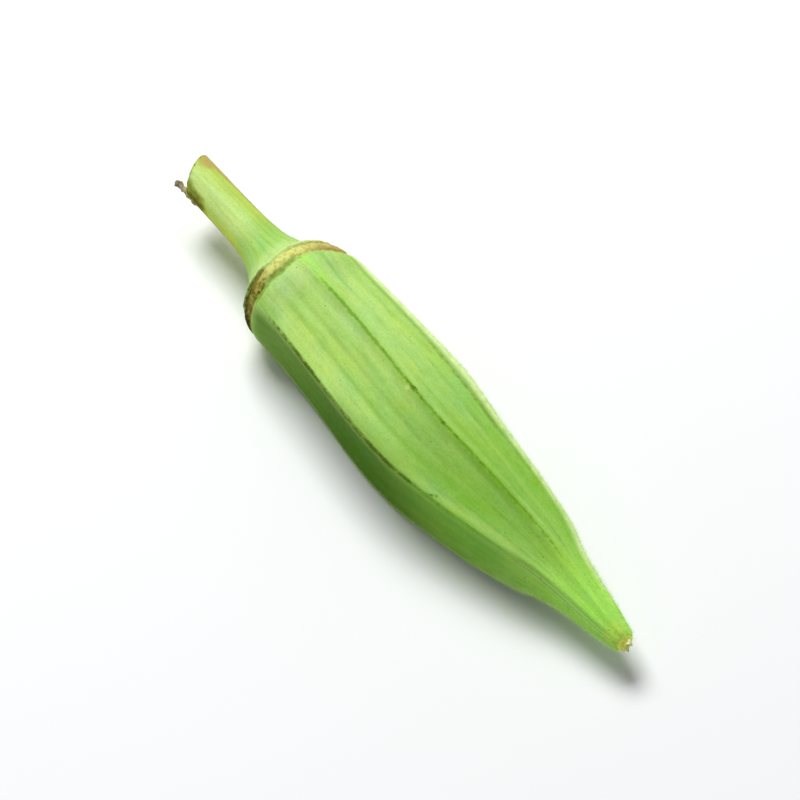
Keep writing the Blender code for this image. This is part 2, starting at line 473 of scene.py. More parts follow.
def line(ridge, aside, half_width):
    """1 along a line beside a ridge, fading past its half width."""
    return np.exp(-(((from_ridge[ridge] - aside) / half_width) ** 2))


def ridge_line(start, end, fade, ridge, aside, half_width):
    """A line beside a ridge, from start to end."""
    return between(start, end, fade, stations) * line(ridge, aside, half_width)


def band(face, share, half_share):
    """1 along a band at a share of the way across a face, fading past its half share."""
    return repeat_down((face_of == face) * np.exp(-(((across - share) / half_share) ** 2)))


def arc(start, full, fading, end):
    """1 over a part of the turn round the pod, fading to 0 at its start and end."""
    return ramp(start, full, turned) * ramp(end, fading, turned)


def hoop(start, end, fade, part):
    """A hoop round a part of the pod's turn, which follows the wander of the ring scar."""
    return between(start, end, fade, worn) * arc(*part)


def together(shape, rows):
    """Several shapes of a kind added up, each by its strength."""
    return sum(strength * shape(*place) for *place, strength in rows)


def strongest(shape, rows):
    """The strongest of several shapes of a kind at each place."""
    return np.max([strength * shape(*place) for *place, strength in rows], axis=0)


# How ripe the skin is along the pod, as (station, share): young at the ring scar, ripest before
# the beak
RIPENESS = (
    (6.0, 0.0),
    (23.0, 0.2),
    (36.0, 0.58),
    (48.0, 1.0),
    (57.0, 0.75),
    (66.0, 0.55),
    (73.0, 0.45),
)

# How deep the green of the lower near face, where it is painted shade, and of the deep bands is, as
# (station, share)
SHADE_AND_DEPTH = (
    (2.0, 0.62),
    (12.0, 0.8),
    (22.0, 0.97),
    (34.0, 0.88),
    (46.0, 0.22),
    (58.0, 0.0),
    (72.0, 0.0),
)

# Width of the pale rim on the far ridge, as (station, width), and where its foot is in such widths;
# the rim is partly the rib's pale crest and partly painted highlight
RIM_WIDTHS = (
    (2.0, 1.0),
    (10.0, 1.05),
    (20.0, 1.25),
    (28.0, 1.5),
    (35.0, 1.3),
    (43.0, 1.0),
    (52.0, 0.85),
    (61.0, 0.95),
    (72.0, 0.85),
)
RIM_FOOT = -1.45

# Stations between which the belly, the fading of its pale bands, and the beak set in
BELLY = (1.0, 3.0)
FADING = (9.0, 34.0)
BEAK = (52.0, 70.0)

# Stretches along the pod, as (start, end, fade)
ON_STEM = (-40.0, -12.0, 7.0)
ON_RIDGES = (4.0, 66.0, 4.0)
ON_BEAK = (60.0, 72.0, 6.0)

# Parts of the turn round the pod, as the angles where each starts, is full, starts to fade and
# ends.  BEFORE and BEYOND are past half a turn, so a part with one of them is open on that side
BEFORE = (-200.0, -190.0)
BEYOND = (190.0, 200.0)
ALL_ROUND = (*BEFORE, *BEYOND)
LOW_SIDE = (-130.0, -100.0, -46.0, -20.0)
NEAR_SIDE = (-130.0, -100.0, -20.0, 20.0)
RING_FRONT = (-50.0, -32.0, -6.0, 8.0)
STEM_FRONT = (-76.0, -36.0, -24.0, 16.0)

# Soft bands along the faces, as (face, share of the way across, half share, strength)
PALE_BANDS = (
    # the first band, beside the near ridge, is painted highlight
    (NEAR_RIDGE, 0.2, 0.1, 1.0),
    (NEAR_RIDGE, 0.5, 0.06, 0.35),
    (NEAR_RIDGE, 0.66, 0.05, 0.3),
    (NEAR_RIDGE, 0.86, 0.07, 0.9),
    (TOP_RIDGE, 0.2, 0.1, 0.45),
    (TOP_RIDGE, 0.5, 0.14, 0.7),
    (TOP_RIDGE, 0.82, 0.06, 0.3),
    (FAR_RIDGE, 0.3, 0.15, 0.5),
    (FAR_RIDGE, 0.7, 0.12, 0.5),
    (LOW_FAR_RIDGE, 0.5, 0.2, 0.3),
)
DEEP_BANDS = (
    (NEAR_RIDGE, 0.36, 0.035, 0.2),
    (NEAR_RIDGE, 0.6, 0.05, 0.18),
    (TOP_RIDGE, 0.88, 0.05, 0.3),
    (FAR_RIDGE, 0.5, 0.08, 0.4),
    (LOW_FAR_RIDGE, 0.5, 0.4, 0.5),
)

# Lines beside the ridges, as (start, end, fade, ridge, distance from it, half width, strength)
PALE_LINES = (
    (26.0, 62.0, 8.0, TOP_RIDGE, 0.95, 0.5, 0.35),
    (42.0, 60.0, 8.0, NEAR_RIDGE, 1.1, 0.7, 0.4),
)
DEEP_LINES = (
    (10.0, 50.0, 8.0, TOP_RIDGE, -0.75, 0.7, 0.18),
    (1.5, 12.0, 4.0, TOP_RIDGE, 0.0, 0.9, 0.08),
    (2.5, 5.0, 2.0, NEAR_RIDGE, 0.9, 0.9, 0.22),
    (25.0, 33.0, 6.0, NEAR_RIDGE, 0.5, 0.8, 0.3),
    (*ON_BEAK, NEAR_RIDGE, 0.38, 0.3, 0.45),
    (*ON_BEAK, NEAR_RIDGE, -0.4, 0.22, 0.38),
)
YELLOW_LINES = ((2.0, 6.0, 5.0, TOP_RIDGE, 0.3, 0.9, 0.5),)
RIM_LINES = (
    (*ON_RIDGES, LOW_NEAR_RIDGE, 0.0, 0.6, 0.4),
    (*ON_RIDGES, LOW_FAR_RIDGE, 0.0, 0.6, 0.4),
    (*ON_BEAK, NEAR_RIDGE, 0.0, 0.22, 0.22),
    (*ON_BEAK, NEAR_RIDGE, -0.8, 0.3, 0.15),
)
SUTURE_LINES = (
    (8.0, 44.0, 7.0, NEAR_RIDGE, -0.2, 0.5, 0.5),
    (3.0, 66.0, 4.0, LOW_NEAR_RIDGE, 0.0, 0.25, 0.6),
    (3.0, 66.0, 4.0, LOW_FAR_RIDGE, 0.0, 0.25, 0.6),
)
OLIVE_LINES = ((9.0, 34.0, 7.0, NEAR_RIDGE, -0.5, 0.7, 0.6),)
RUBBED_LINES = ((8.0, 36.0, 7.0, NEAR_RIDGE, -0.1, 0.4, 0.35),)

# Hoops round the stem, the ring scar and the tip, as (start, end, fade, part of the turn, strength)
DEEP_HOOPS = (
    (-9.0, -4.0, 3.5, ALL_ROUND, 0.16),
    (*ON_STEM, (0.0, 30.0, *BEYOND), 0.15),
)
STRAW_HOOPS = (
    (*ON_STEM, (*BEFORE, -85.0, -48.0), 0.85),
    (*ON_STEM, (5.0, 50.0, *BEYOND), 0.5),
    (73.0, 74.4, 1.2, (*BEFORE, 10.0, 70.0), 0.4),
)
BLOOM_HOOPS = (
    (*ON_STEM, STEM_FRONT, 0.55),
    (-3.4, -1.5, 2.4, ALL_ROUND, 0.6),
    (1.8, 4.5, 1.5, RING_FRONT, 0.45),
)
SUTURE_HOOPS = (
    (1.15, 1.6, 0.25, ALL_ROUND, 0.28),
    (1.15, 1.6, 0.25, NEAR_SIDE, 0.4),
)
OLIVE_HOOPS = (
    (0.45, 1.2, 0.3, RING_FRONT, 0.55),
    (73.7, 74.9, 0.6, ALL_ROUND, 0.25),
)
BROWN_HOOPS = (
    (-1.9, -1.5, 0.3, LOW_SIDE, 0.3),
    (-1.6, 1.1, 0.3, LOW_SIDE, 0.3),
    (-1.15, -0.85, 0.25, (-20.0, 10.0, *BEYOND), 0.5),
)
RUSTY_HOOPS = ((-1.4, 1.0, 0.3, (-10.0, 28.0, *BEYOND), 0.6),)

# Spots, as (station, angle, half length, half width, strength).  Rubbed dark green ones lie along
# the top ridge and the near one, with two specks on the flare and a short scratch
RUBBED_SPOTS = (
    (28.4, -1.8, 0.5, 0.3, 0.6),
    (29.6, -1.9, 0.9, 0.42, 0.85),
    (31.8, -1.7, 0.6, 0.3, 0.5),
    (34.6, -1.0, 0.5, 0.3, 0.55),
    (36.2, -0.6, 0.8, 0.36, 0.65),
    (38.8, -0.2, 0.5, 0.28, 0.4),
    (44.0, 0.6, 0.7, 0.25, 0.4),
    (12.0, -59.0, 1.2, 0.5, 0.5),
    (15.6, -59.5, 1.9, 0.6, 0.75),
    (20.0, -60.5, 1.2, 0.5, 0.6),
    (24.5, -60.5, 0.8, 0.45, 0.6),
    (27.5, -60.0, 0.9, 0.45, 0.6),
    (31.0, -59.0, 1.3, 0.55, 0.85),
    (34.0, -58.5, 1.6, 0.5, 0.9),
    (38.0, -57.5, 1.2, 0.4, 0.5),
    (22.0, -0.6, 0.5, 0.22, 0.35),
    (15.5, 0.2, 0.6, 0.22, 0.3),
    (50.5, 1.0, 0.6, 0.22, 0.35),
    (-11.5, -36.0, 0.2, 0.18, 0.6),
    (-8.3, -33.0, 0.17, 0.15, 0.5),
    (41.7, -55.0, 0.3, 0.3, 0.5),
    (42.2, -53.2, 0.35, 0.3, 0.55),
    (42.8, -51.2, 0.4, 0.25, 0.5),
)

# Brown ones lie on the near ridge, on the stem and on the ring scar, and olive ones near the cut
BROWN_SPOTS = (
    (9.5, -59.0, 0.7, 0.3, 0.55),
    (13.8, -60.5, 1.8, 0.5, 0.65),
    (30.6, -59.5, 1.1, 0.35, 0.5),
    (-20.0, -88.0, 2.6, 0.8, 0.9),
    (-1.2, -40.0, 0.5, 1.2, 0.75),
    (-0.7, -53.0, 0.9, 1.3, 0.7),
    (0.5, 51.0, 0.4, 0.4, 0.6),
    (0.2, 42.0, 0.3, 0.3, 0.4),
)
OLIVE_SPOTS = (
    (-20.6, -76.0, 2.8, 1.5, 0.75),
    (-22.6, -58.0, 1.3, 1.1, 0.6),
)

# Nearly black ones on the ring scar's lower side are partly a stain where it stayed wet and partly
# painted shadow, and rusty ones run along the stem
SOOT_AND_SHADOW_SPOTS = (
    (-0.7, -60.0, 0.45, 1.5, 0.75),
    (-0.7, -70.0, 0.6, 1.6, 0.9),
    (-0.5, -80.0, 0.9, 2.2, 1.0),
    (0.0, -92.0, 1.0, 2.4, 1.0),
    (0.3, -108.0, 0.8, 2.2, 0.9),
)
RUSTY_SPOTS = (
    (-23.4, 30.0, 1.8, 1.4, 0.85),
    (-21.4, 52.0, 3.8, 1.0, 0.9),
    (-16.2, 60.0, 6.5, 0.55, 0.85),
    (-15.0, -99.0, 8.5, 0.4, 0.85),
    (1.2, 50.0, 0.7, 2.2, 0.25),
)

# A pale nick beside the top ridge, and a pale streak below the ring scar
PALE_NICKS = (
    (28.9, -5.5, 0.45, 0.3, 0.6),
    (1.35, -74.0, 0.3, 2.6, 0.5),
)

# The down's thickness on the faces, what the fuzz of ridges and beak adds, and what the stem and
# the lower near face take away
DOWN_ON_FACES = 0.5
DOWN_IN_FUZZ = 2.6
DOWN_LOST_ON_STEM = 0.25
DOWN_LOST_BELOW = 0.3
FUZZY_RIDGES = (LOW_NEAR_RIDGE, FAR_RIDGE, LOW_FAR_RIDGE)
FUZZ_GROWS = (5.0, 42.0)
FUZZ_ON_BEAK = 0.35

# masks: each is 1 on its part of the pod and 0 elsewhere
turned = turn_from(0.0, angles)
belly = ramp(*BELLY, worn)
fades = ramp(*FADING, stations)
beak = ramp(*BEAK, stations)
# low_face: the lower near face, painted deep green there as shade
low_face = ramp(0.0, 1.0, from_ridge[LOW_NEAR_RIDGE]) * ramp(0.2, -2.3, from_ridge[NEAR_RIDGE])
bark_edge = (1.0 - on_cut) * ramp(0.6, 0.15, stations - cut_edge)
rim_width = smooth_through(RIM_WIDTHS, stations)
from_rim = from_ridge[FAR_RIDGE]
# pale rim on the far ridge, partly its own pale crest and partly painted highlight, laid on the
# side towards the top ridge
rim = ramp(-1.3 * rim_width, -0.5 * rim_width, from_rim) * ramp(0.6, 0.0, from_rim)
rim *= ramp(-0.5, 1.5, stations) * ramp(72.0, 60.0, stations)
top_suture = (1.0 - 0.25 * fades) * ramp(1.0, 13.0, stations) * ramp(68.0, 52.0, stations)

# the cork wears thin towards the flare, and in front towards the belly as well
thin_cork = 1.0 - 0.7 * ramp(-0.7, -1.6, worn)
green_lip = 1.0 - 0.7 * ramp(0.2, 0.9, worn) * arc(*RING_FRONT)

# marks: grids of numbers that become the skin's attributes, for its material and the down
marks = {
    "grain": grain,
    "stem": ramp(-7.0, -14.0, stations),
    "ripe": smooth_through(RIPENESS, stations),
    # pale bands, the one beside the near ridge painted highlight
    "pale_and_highlight": belly * (1.0 - 0.9 * fades) * together(band, PALE_BANDS)
    + together(ridge_line, PALE_LINES),
    # deep green: the pod's own deeper bands and lines, and painted shade over the lower near face
    "deep_and_shade": belly * smooth_through(SHADE_AND_DEPTH, stations) * (low_face + together(band, DEEP_BANDS))
    + together(ridge_line, DEEP_LINES)
    + together(hoop, DEEP_HOOPS),
    "yellow": beak * (0.8 + 0.2 * low_face) + together(ridge_line, YELLOW_LINES),
    "straw": together(hoop, STRAW_HOOPS),
    "bloom": together(hoop, BLOOM_HOOPS),
    # pale rims, and on the far ridge a painted highlight
    "rib_rim_and_highlight": rim + together(ridge_line, RIM_LINES),
    "suture": top_suture * line(TOP_RIDGE, 0.0, 0.36)
    + together(ridge_line, SUTURE_LINES)
    + together(hoop, SUTURE_HOOPS)
    + 0.4 * ridge_line(20.0, 38.0, 7.0, FAR_RIDGE, RIM_FOOT * rim_width, 0.45),
    "olive": strongest(spot, OLIVE_SPOTS)
    + together(ridge_line, OLIVE_LINES)
    + together(hoop, OLIVE_HOOPS),
    "rubbed": strongest(spot, RUBBED_SPOTS) + together(ridge_line, RUBBED_LINES),
    "brown": strongest(spot, BROWN_SPOTS)
    + together(hoop, BROWN_HOOPS)
    + 0.6 * bark_edge
    + 0.3 * ridge_line(24.0, 36.0, 4.0, FAR_RIDGE, RIM_FOOT * rim_width, 0.35),
    # darker cork on the lower side of the ring scar
    "lower_cork": arc(*LOW_SIDE),
    # near black on the ring scar's lower side: partly stain, partly painted shadow
    "soot_and_shadow": strongest(spot, SOOT_AND_SHADOW_SPOTS),
    "rust": strongest(spot, RUSTY_SPOTS) + together(hoop, RUSTY_HOOPS),
    "nick": strongest(spot, PALE_NICKS),
    "cork": cork * thin_cork * green_lip,
    "pith": on_cut,
    "from_pith": np.repeat(shrink, columns, axis=1),
    "scar": ramp(74.7, 75.4, stations + (1.0 - shrink) * 0.2),
}

# down: thick on the fuzzy ridges and the beak, and none on the cork, the scar and the cut
on_ridges = sum(line(ridge, 0.0, 1.0) for ridge in FUZZY_RIDGES)
fuzz = np.clip(belly * on_ridges * ramp(*FUZZ_GROWS, stations) + FUZZ_ON_BEAK * beak, 0.0, 1.0)
bare = (1.0 - cork) * (1.0 - marks["scar"]) * (1.0 - on_cut)
thick = DOWN_ON_FACES + DOWN_IN_FUZZ * fuzz
thick = thick - DOWN_LOST_ON_STEM * marks["stem"] - DOWN_LOST_BELOW * low_face
marks["fuzz"] = fuzz
marks["down"] = np.maximum(thick * bare, 0.0)


def paint(red, green, blue):
    """A socket's colour, from red, green and blue on the usual scale to 255."""
    return (*Color((red / 255, green / 255, blue / 255)).from_srgb_to_scene_linear(), 1.0)


def feed(tree, value, socket):
    """Links a socket to another one, or sets its value."""
    if isinstance(value, bpy.types.NodeSocket):
        tree.links.new(value, socket)
    else:
        socket.default_value = value


def maths(tree, operation, *values):
    """A Math node's result."""
    made = tree.nodes.new("ShaderNodeMath")
    made.operation = operation
    for value, socket in zip(values, made.inputs):
        feed(tree, value, socket)
    return made.outputs[0]


def times(tree, first, second):
    """Two values multiplied."""
    return maths(tree, "MULTIPLY", first, second)


def coat(tree, share, under, over, how="MIX"):
    """A colour laid over another one by a share."""
    made = tree.nodes.new("ShaderNodeMix")
    made.data_type = "RGBA"
    made.blend_type = how
    # the node's sockets for colours come after those for numbers and vectors
    factor, first, second = (made.inputs[k] for k in (0, 6, 7))
    feed(tree, share, factor)
    feed(tree, under, first)
    feed(tree, over, second)
    return made.outputs[2]


def step(tree, value, low, high, lowest=0.0, highest=1.0):
    """A smooth step of a value, from lowest at low to highest at high."""
    made = tree.nodes.new("ShaderNodeMapRange")
    made.interpolation_type = "SMOOTHSTEP"
    for socket, number in zip(made.inputs, (value, low, high, lowest, highest)):
        feed(tree, number, socket)
    return made.outputs[0]


def scaled(tree, vector, sizes):
    """A vector divided by a size along each axis."""
    made = tree.nodes.new("ShaderNodeVectorMath")
    made.operation = "DIVIDE"
    feed(tree, vector, made.inputs[0])
    feed(tree, sizes, made.inputs[1])
    return made.outputs[0]


def cloud(tree, vector, sizes, detail=2.0):
    """Noise with waves of these sizes, about 0.5 on average."""
    made = tree.nodes.new("ShaderNodeTexNoise")
    feed(tree, scaled(tree, vector, sizes), made.inputs["Vector"])
    made.inputs["Scale"].default_value = 1.0
    made.inputs["Detail"].default_value = detail
    return made.outputs["Fac"]


def mark(tree, name, output="Fac"):
    """One of the piece's own attributes."""
    made = tree.nodes.new("ShaderNodeAttribute")
    made.attribute_name = name
    return made.outputs[output]


def in_millimetres(tree):
    """Place on the piece, in millimetres."""
    made = tree.nodes.new("ShaderNodeTexCoord")
    return scaled(tree, made.outputs["Object"], (MM, MM, MM))


def ragged_edge():
    """Group that breaks up the edge of a mask, as rubbed and dried skin does."""
    tree = bpy.data.node_groups.new("ragged_edge", "ShaderNodeTree")
    tree.interface.new_socket("Mask", in_out="INPUT", socket_type="NodeSocketFloat")
    tree.interface.new_socket("Place", in_out="INPUT", socket_type="NodeSocketVector")
    tree.interface.new_socket("Grain size", in_out="INPUT", socket_type="NodeSocketFloat")
    tree.interface.new_socket("Raggedness", in_out="INPUT", socket_type="NodeSocketFloat")
    tree.interface.new_socket("Mask", in_out="OUTPUT", socket_type="NodeSocketFloat")
    given = tree.nodes.new("NodeGroupInput")
    texture = tree.nodes.new("ShaderNodeTexNoise")
    tree.links.new(given.outputs["Place"], texture.inputs["Vector"])
    tree.links.new(maths(tree, "DIVIDE", 1.0, given.outputs["Grain size"]), texture.inputs["Scale"])
    texture.inputs["Detail"].default_value = 3.0
    bite = maths(tree, "SUBTRACT", texture.outputs["Fac"], 0.5)
    bitten = times(tree, bite, given.outputs["Raggedness"])
    # a bite is worth more in the middle of the mask than outside it, where nothing may appear
    worth = times(tree, bitten, step(tree, given.outputs["Mask"], 0.0, 0.3))
    mask = maths(tree, "ADD", given.outputs["Mask"], worth)
    result = tree.nodes.new("NodeGroupOutput")
    tree.links.new(step(tree, mask, 0.1, 0.9), result.inputs["Mask"])
    return tree


ragged = ragged_edge()


def torn(tree, mask, place, size, raggedness):
    """A mask with a ragged edge."""
    made = tree.nodes.new("ShaderNodeGroup")
    made.node_tree = ragged
    values = {"Mask": mask, "Place": place, "Grain size": size, "Raggedness": raggedness}
    for name, value in values.items():
        feed(tree, value, made.inputs[name])
    return made.outputs["Mask"]


def new_material(name):
    """A material, its tree and its shader."""
    material = bpy.data.materials.new(name)
    material.use_nodes = True
    return material, material.node_tree, material.node_tree.nodes["Principled BSDF"]


YOUNG_GREEN = paint(167, 211, 106)
RIPE_GREEN = paint(128, 188, 60)
STEM_GREEN = paint(187, 213, 104)
PALE_GREEN = paint(195, 227, 134)
# deep green, also painted over the lower near face as shade
DEEP_GREEN = paint(72, 118, 2)
YELLOW_GREEN = paint(177, 242, 94)
STRAW_GREEN = paint(212, 230, 84)
BLOOM = paint(204, 230, 152)
# pale rim of the ribs, with painted highlight on the far ridge
RIM_AND_HIGHLIGHT_GREEN = paint(220, 242, 168)
SUTURE_GREEN = paint(104, 146, 22)
COOL_TINT = (0.88, 0.98, 1.14, 1.0)
WARM_TINT = (1.05, 1.0, 0.78, 1.0)
SHADE_TINT = (0.84, 0.87, 0.8, 1.0)
SPECK = paint(96, 128, 30)
SMUDGE = paint(78, 110, 16)
OLIVE = paint(116, 122, 22)
BROWN = paint(96, 94, 22)
# near black for the ring scar: stain and painted shadow
SOOT_AND_SHADOW = paint(64, 62, 18)
RUST = paint(182, 154, 88)
NICK = paint(216, 234, 150)
TAN = paint(207, 213, 124)
CORK_SHADE = paint(180, 180, 90)
LOWER_CORK = paint(168, 166, 80)
DARK_CORK = paint(120, 106, 42)
PITH = paint(224, 228, 180)
PITH_PORE = paint(186, 186, 118)
WOOD = paint(206, 212, 138)
BARK_EDGE = paint(126, 148, 54)
SCAR = paint(238, 250, 118)
SCAR_SHADE = paint(206, 220, 78)

# Sizes of the skin's patterns: twice across the pod and then along it, or the same all ways
STREAKS = (1.5, 1.5, 26.0)
BROAD_STREAKS = (4.5, 4.5, 30.0)
PATCHES = (3.6, 3.6, 8.0)
SHADES = (1.3, 1.3, 5.0)
THIN_LINES = (0.5, 0.5, 7.0)
RUST_STREAKS = (1.0, 1.0, 4.0)
CRUMBS = (0.95, 0.95, 0.57)
MOTTLE = (1.7, 1.7, 1.7)
FINE_GRAIN = (0.32, 0.32, 0.32)
SPECK_SPACING = (1.5, 1.5, 1.5)
PORES = (0.22, 0.22, 0.22)
PITS = (0.2, 0.2, 0.2)


def skin_material():
    """Fresh green skin: satin, streaked along the pod, tan and dry on the ring scar."""
    material, tree, shader = new_material("pod_skin")
    place = in_millimetres(tree)
    along = mark(tree, "grain", "Vector")
    streaks = cloud(tree, along, STREAKS)
    broad = cloud(tree, along, BROAD_STREAKS)
    mottle = cloud(tree, place, MOTTLE, 3.0)
    fine = cloud(tree, place, FINE_GRAIN)

    # greens: ripening, streaks, pale and deep bands, painted highlight beside the near ridge and
    # painted shade on the lower near face, and patches of cooler and warmer tint
    green = coat(tree, mark(tree, "ripe"), YOUNG_GREEN, RIPE_GREEN)
    green = coat(tree, mark(tree, "stem"), green, STEM_GREEN)
    unripe = maths(tree, "SUBTRACT", 1.0, times(tree, mark(tree, "ripe"), 0.4))
    wide_light = step(tree, broad, 0.35, 0.7, 0.0, 0.25)
    light = maths(tree, "ADD", wide_light, step(tree, streaks, 0.5, 0.8, 0.0, 0.3))
    green = coat(tree, times(tree, light, unripe), green, PALE_GREEN)
    green = coat(tree, step(tree, streaks, 0.48, 0.22, 0.0, 0.24), green, DEEP_GREEN)
    # pale bands; the one beside the near ridge is painted highlight
    pale_and_highlight = times(tree, mark(tree, "pale_and_highlight"), step(tree, streaks, 0.25, 0.6, 0.45, 1.0))
    green = coat(tree, pale_and_highlight, green, PALE_GREEN)
    green = coat(tree, mark(tree, "yellow"), green, YELLOW_GREEN)
    green = coat(tree, mark(tree, "straw"), green, STRAW_GREEN)
    green = coat(tree, mark(tree, "bloom"), green, BLOOM)
    mottled = times(tree, step(tree, mottle, 0.35, 0.75, 0.0, 0.18), unripe)
    green = coat(tree, mottled, green, PALE_GREEN)
    # deep green: painted shade over the lower near face, and deeper bands and lines
    deep_and_shade = times(tree, mark(tree, "deep_and_shade"), step(tree, streaks, 0.2, 0.6, 0.95, 1.0))
    green = coat(tree, deep_and_shade, green, DEEP_GREEN)
    patches = cloud(tree, along, PATCHES, 3.0)
    green = coat(tree, step(tree, patches, 0.5, 0.68, 0.0, 0.7), green, COOL_TINT, "MULTIPLY")
    green = coat(tree, step(tree, patches, 0.5, 0.32, 0.0, 0.7), green, WARM_TINT, "MULTIPLY")
    shades = cloud(tree, along, SHADES, 3.0)
    green = coat(tree, step(tree, shades, 0.52, 0.3, 0.0, 0.7), green, SHADE_TINT, "MULTIPLY")
    green = coat(tree, step(tree, fine, 0.6, 0.35, 0.0, 0.1), green, DEEP_GREEN)

    # ridges: pale rims, on the far ridge partly painted highlight, sutures and rubbed places, and a
    # few dark specks all over
    uneven = step(tree, mottle, 0.25, 0.65, 0.65, 1.0)
    green = coat(tree, times(tree, mark(tree, "rib_rim_and_highlight"), uneven), green, RIM_AND_HIGHLIGHT_GREEN)
    suture = torn(tree, mark(tree, "suture"), place, 0.7, 1.2)
    green = coat(tree, times(tree, suture, 0.8), green, SUTURE_GREEN)
    olive = torn(tree, mark(tree, "olive"), place, 0.9, 0.9)
    green = coat(tree, times(tree, olive, 0.9), green, OLIVE)
    rubbed = torn(tree, mark(tree, "rubbed"), place, 0.45, 1.8)
    green = coat(tree, times(tree, rubbed, 0.85), green, SMUDGE)
    cells = tree.nodes.new("ShaderNodeTexVoronoi")
    feed(tree, scaled(tree, place, SPECK_SPACING), cells.inputs["Vector"])
    cells.inputs["Scale"].default_value = 1.0
    tone = tree.nodes.new("ShaderNodeSeparateColor")
    feed(tree, cells.outputs["Color"], tone.inputs[0])
    chosen = step(tree, tone.outputs[0], 0.6, 0.65)
    specks = times(tree, step(tree, cells.outputs["Distance"], 0.1, 0.05), chosen)
    green = coat(tree, times(tree, specks, 0.6), green, SPECK)

    # ring scar: crumbled cork, tan and darker on its lower side, under rust, brown and a near-black
    # mark that is partly stain and partly painted shadow
    cork = torn(tree, mark(tree, "cork"), place, 0.5, 0.6)
    crumbs = cloud(tree, along, CRUMBS, 3.0)
    cork_tone = coat(tree, step(tree, crumbs, 0.34, 0.54), CORK_SHADE, TAN)
    # darker cork on the ring scar's lower side
    lower_cork = coat(tree, step(tree, crumbs, 0.4, 0.52), DARK_CORK, LOWER_CORK)
    cork_tone = coat(tree, mark(tree, "lower_cork"), cork_tone, lower_cork)
    skin = coat(tree, cork, green, cork_tone)
    rust = torn(tree, mark(tree, "rust"), scaled(tree, along, RUST_STREAKS), 0.6, 1.3)
    skin = coat(tree, times(tree, rust, 0.8), skin, RUST)
    brown = torn(tree, mark(tree, "brown"), place, 0.6, 1.6)
    skin = coat(tree, times(tree, brown, 0.75), skin, BROWN)
    skin = coat(tree, mark(tree, "nick"), skin, NICK)
    # near black on the ring scar's lower side: partly stain, partly painted shadow
    skin = coat(tree, torn(tree, mark(tree, "soot_and_shadow"), place, 0.5, 1.7), skin, SOOT_AND_SHADOW)

    # ends: pith, wood and bark of the cut stem, and the scar of the style
    pores = cloud(tree, place, PORES)
    flesh = coat(tree, step(tree, pores, 0.55, 0.35, 0.0, 0.7), PITH, PITH_PORE)
    flesh = coat(tree, step(tree, mark(tree, "from_pith"), 0.5, 0.66, 0.0, 0.7), flesh, WOOD)
    flesh = coat(tree, step(tree, mark(tree, "from_pith"), 0.8, 0.94, 0.0, 0.8), flesh, BARK_EDGE)
    skin = coat(tree, mark(tree, "pith"), skin, flesh)
    scar = coat(tree, step(tree, fine, 0.4, 0.6), SCAR_SHADE, SCAR)
    skin = coat(tree, torn(tree, mark(tree, "scar"), place, 0.4, 0.8), skin, scar)
    feed(tree, skin, shader.inputs["Base Color"])

    # surface: satin, dull on cork and brown marks, with fine lines along the pod and pitted cork
    satin = step(tree, mottle, 0.3, 0.7, 0.44, 0.54)
    dull = times(tree, maths(tree, "MAXIMUM", cork, brown), 0.3)
    feed(tree, maths(tree, "ADD", satin, dull), shader.inputs["Roughness"])
    shader.inputs["Specular IOR Level"].default_value = 0.02
    shader.inputs["Subsurface Weight"].default_value = 0.12
    shader.inputs["Subsurface Radius"].default_value = (0.7, 1.0, 0.3)
    shader.inputs["Subsurface Scale"].default_value = 1.0 * MM
    lines = cloud(tree, along, THIN_LINES)
    height = maths(tree, "ADD", times(tree, lines, 0.6), fine)
    pits = times(tree, cloud(tree, place, PITS), times(tree, cork, 5.0))
    bump = tree.nodes.new("ShaderNodeBump")
    bump.inputs["Strength"].default_value = 0.5
    bump.inputs["Distance"].default_value = 0.06 * MM
    feed(tree, maths(tree, "ADD", height, pits), bump.inputs["Height"])
    feed(tree, bump.outputs["Normal"], shader.inputs["Normal"])
    return material


skin_mesh = tube_mesh("skin", points)
spread(skin_mesh, marks)
new_piece("skin", skin_mesh, skin_material())

# ----------------------------------------------------------------------
# Torn strip.  Where the knife left the stem it pulled a thin strip of bark loose, which dried grey
# and curled up into a knob at its end.
# ----------------------------------------------------------------------

STRIP_ANGLE = -115.0
STRIP_ROOT = -19.8
STRIP_RADIUS = 0.38

# Steps along the strip from its root, as (length, sideways, up, radius)
STRIP_STEPS = (
    (1.3, -0.1, 0.02, 0.42),
    (1.1, -0.06, 0.02, 0.38),
    (1.0, 0.02, 0.0, 0.36),
    (0.9, 0.03, 0.02, 0.44),
    (0.55, -0.02, 0.02, 0.48),
    (0.45, -0.03, 0.0, 0.44),
    (0.25, 0.0, 0.0, 0.3),
    (0.08, 0.0, 0.0, 0.0),
)
STRIP_SIDES = 24
STRIP_RINGS = 60
STRIP_RAGGEDNESS = 0.5
KNOB_LENGTH = 1.3
KNOB_FADE = 0.4
BARK_LIGHT = paint(176, 166, 122)
BARK_DARK = paint(132, 120, 80)
KNOB_GREY = paint(112, 106, 80)


def strip_points():
    """Rows of points along the strip, from inside the stem's bark to the end of its knob."""
    place = middle(STRIP_ROOT) + around(STRIP_ANGLE) * (STEM_RADIUS - STRIP_RADIUS)
    stops = [(*place, 0.0), (*place, STRIP_RADIUS)]
    for length, sideways, up, radius in STRIP_STEPS:
        place = place + np.array([-length, sideways, up])
        stops.append((*place, radius))
    along = np.linspace(0.0, len(stops) - 1.0, STRIP_RINGS)
    *way, radius = (smooth_through(list(enumerate(values)), along) for values in zip(*stops))
    line_middle = np.stack(way, axis=-1)[:, None, :]
    turns = around(-np.arange(STRIP_SIDES) * 360.0 / STRIP_SIDES)[None, :, :]
    radius = np.maximum(radius, 0.0)[:, None, None]
    smooth = line_middle + turns * radius
    ragged_out = STRIP_RAGGEDNESS * (lumps(smooth, 0.45) + 0.6 * lumps(smooth, 0.2))
    return smooth + turns * radius * ragged_out[..., None]


